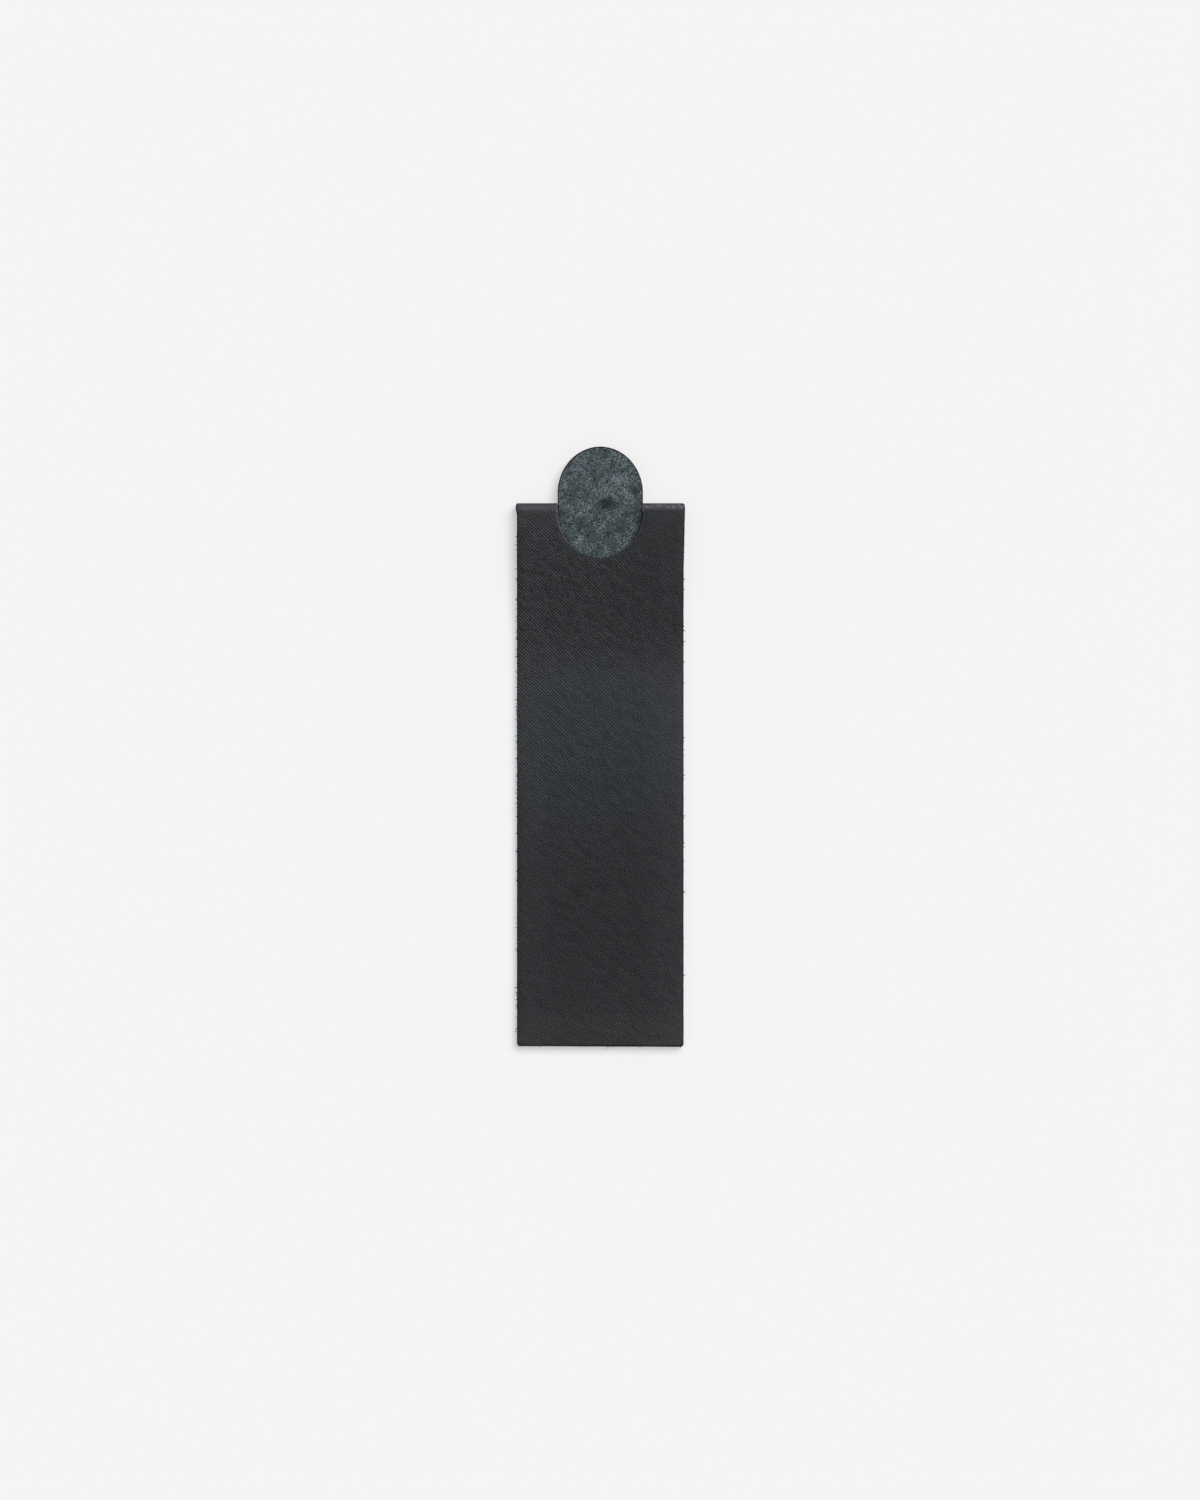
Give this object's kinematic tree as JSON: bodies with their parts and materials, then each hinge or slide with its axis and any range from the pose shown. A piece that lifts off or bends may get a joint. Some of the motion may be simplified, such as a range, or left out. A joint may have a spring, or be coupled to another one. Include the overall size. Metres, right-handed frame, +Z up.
{
  "type": "bookmark",
  "caption": "Folded leather bookmark strip that straddles the top edge of a page, with an index tab cut out of its front leaf and left standing past the fold.",
  "frame": {"origin": "on the table under the back leaf, below the middle of the outline", "axes": "+X across the strip, +Y along it towards the tip of the index tab, +Z up out of the front leaf"},
  "size_m": [0.0468, 0.1656, 0.0044],
  "materials": {
    "grain_leather": "matt black, fine diagonal emboss",
    "flesh_leather": "napped flesh side, grey-green"
  },
  "bodies": {
    "back": {"back_leaf": "grain_leather", "index_tab": "flesh_leather"},
    "fold": {"fold_left": "grain_leather", "fold_right": "grain_leather"},
    "front": {"front_leaf": "grain_leather"}
  },
  "joints": [
    {"name": "back_bend", "type": "hinge", "parent": "back", "child": "fold", "pos_m": [0, 0.06656, 0.00064], "axis": [-1, 0, 0], "range_deg": [0, 90], "stiffness_Nm_per_rad": 0.002},
    {"name": "front_bend", "type": "hinge", "parent": "fold", "child": "front", "pos_m": [0, 0.06656, 0.00376], "axis": [-1, 0, 0], "range_deg": [0, 90], "stiffness_Nm_per_rad": 0.002}
  ],
  "couplings": [
    {"joint": "back_bend", "follows": "front_bend", "ratio": 1}
  ]
}
